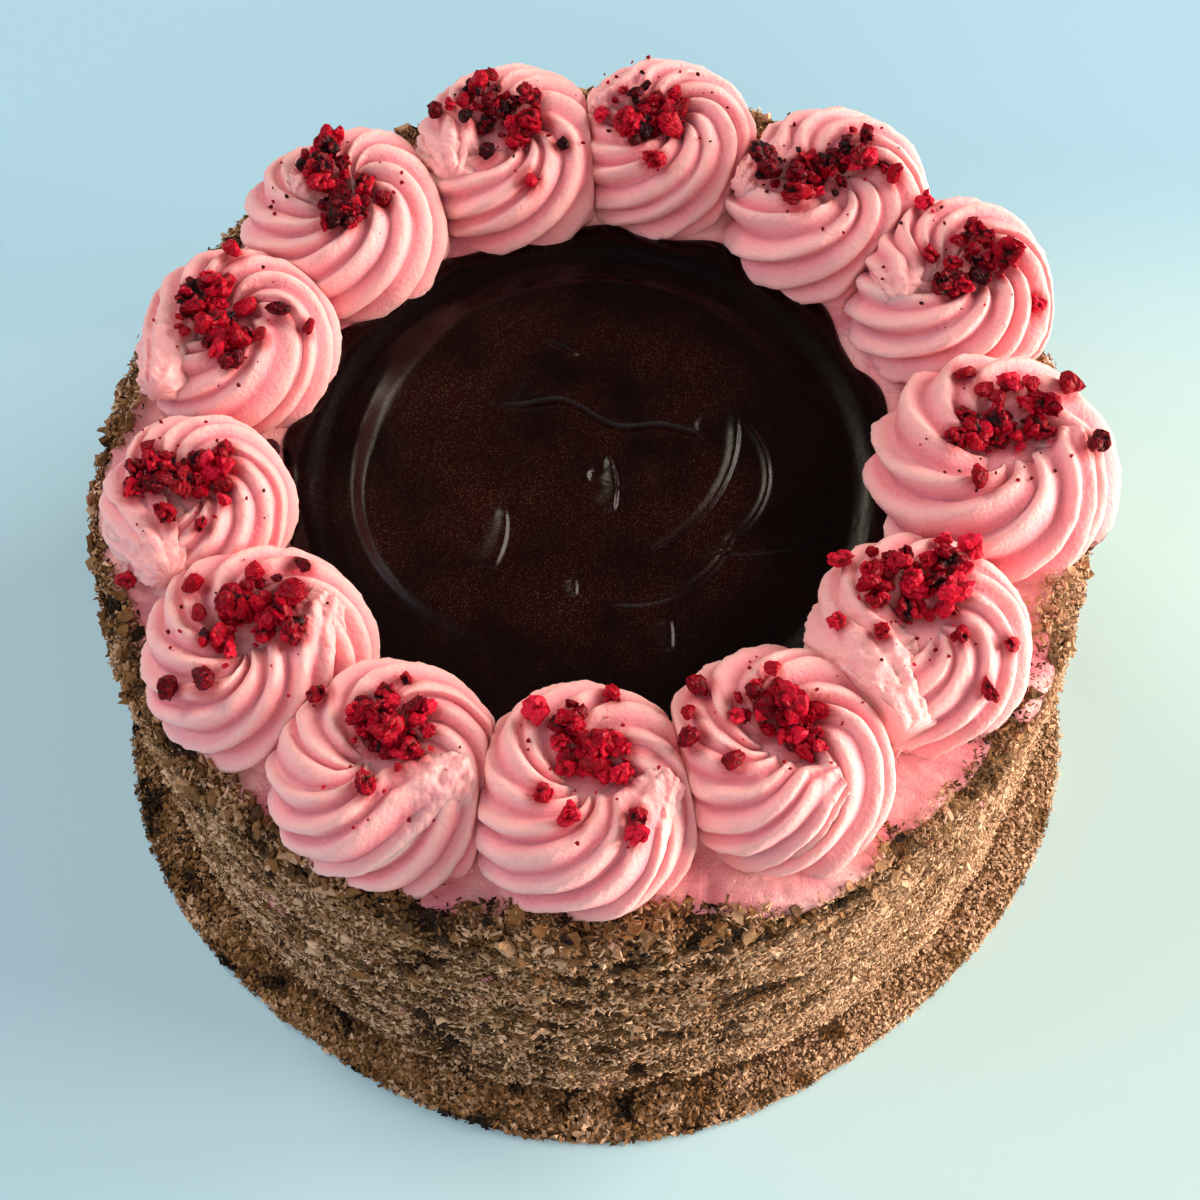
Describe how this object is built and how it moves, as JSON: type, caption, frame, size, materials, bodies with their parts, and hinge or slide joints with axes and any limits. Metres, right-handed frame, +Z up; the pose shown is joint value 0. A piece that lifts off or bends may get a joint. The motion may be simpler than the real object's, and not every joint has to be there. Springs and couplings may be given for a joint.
{
  "type": "chocolate berry cake",
  "caption": "Tall round cake with its side in grated chocolate, a dark ganache pool on top, and a ring of piped pink buttercream rosettes with dried berry crumbs.",
  "frame": {"origin": "middle of the flat underside of the cake, level with the surface it rests on", "axes": "+Z up along the cake's axis; -Y is the near side in the reference picture; +X to the right seen from there"},
  "size_m": [0.2224, 0.2222, 0.1204],
  "materials": {
    "grated_chocolate": "finely grated milk chocolate, dry and matte",
    "ganache": "set dark chocolate ganache, satin to glossy",
    "buttercream": "piped pink buttercream, soft satin",
    "dried_berry": "freeze-dried berry crumbs, deep crimson, rough and granular"
  },
  "bodies": {
    "root": {"cake_body": "grated_chocolate", "ganache": "ganache", "rosette_01": "buttercream", "rosette_02": "buttercream", "rosette_03": "buttercream", "rosette_04": "buttercream", "rosette_05": "buttercream", "rosette_06": "buttercream", "rosette_07": "buttercream", "rosette_08": "buttercream", "rosette_09": "buttercream", "rosette_10": "buttercream", "rosette_11": "buttercream", "rosette_12": "buttercream", "rosette_13": "buttercream"}
  },
  "joints": []
}
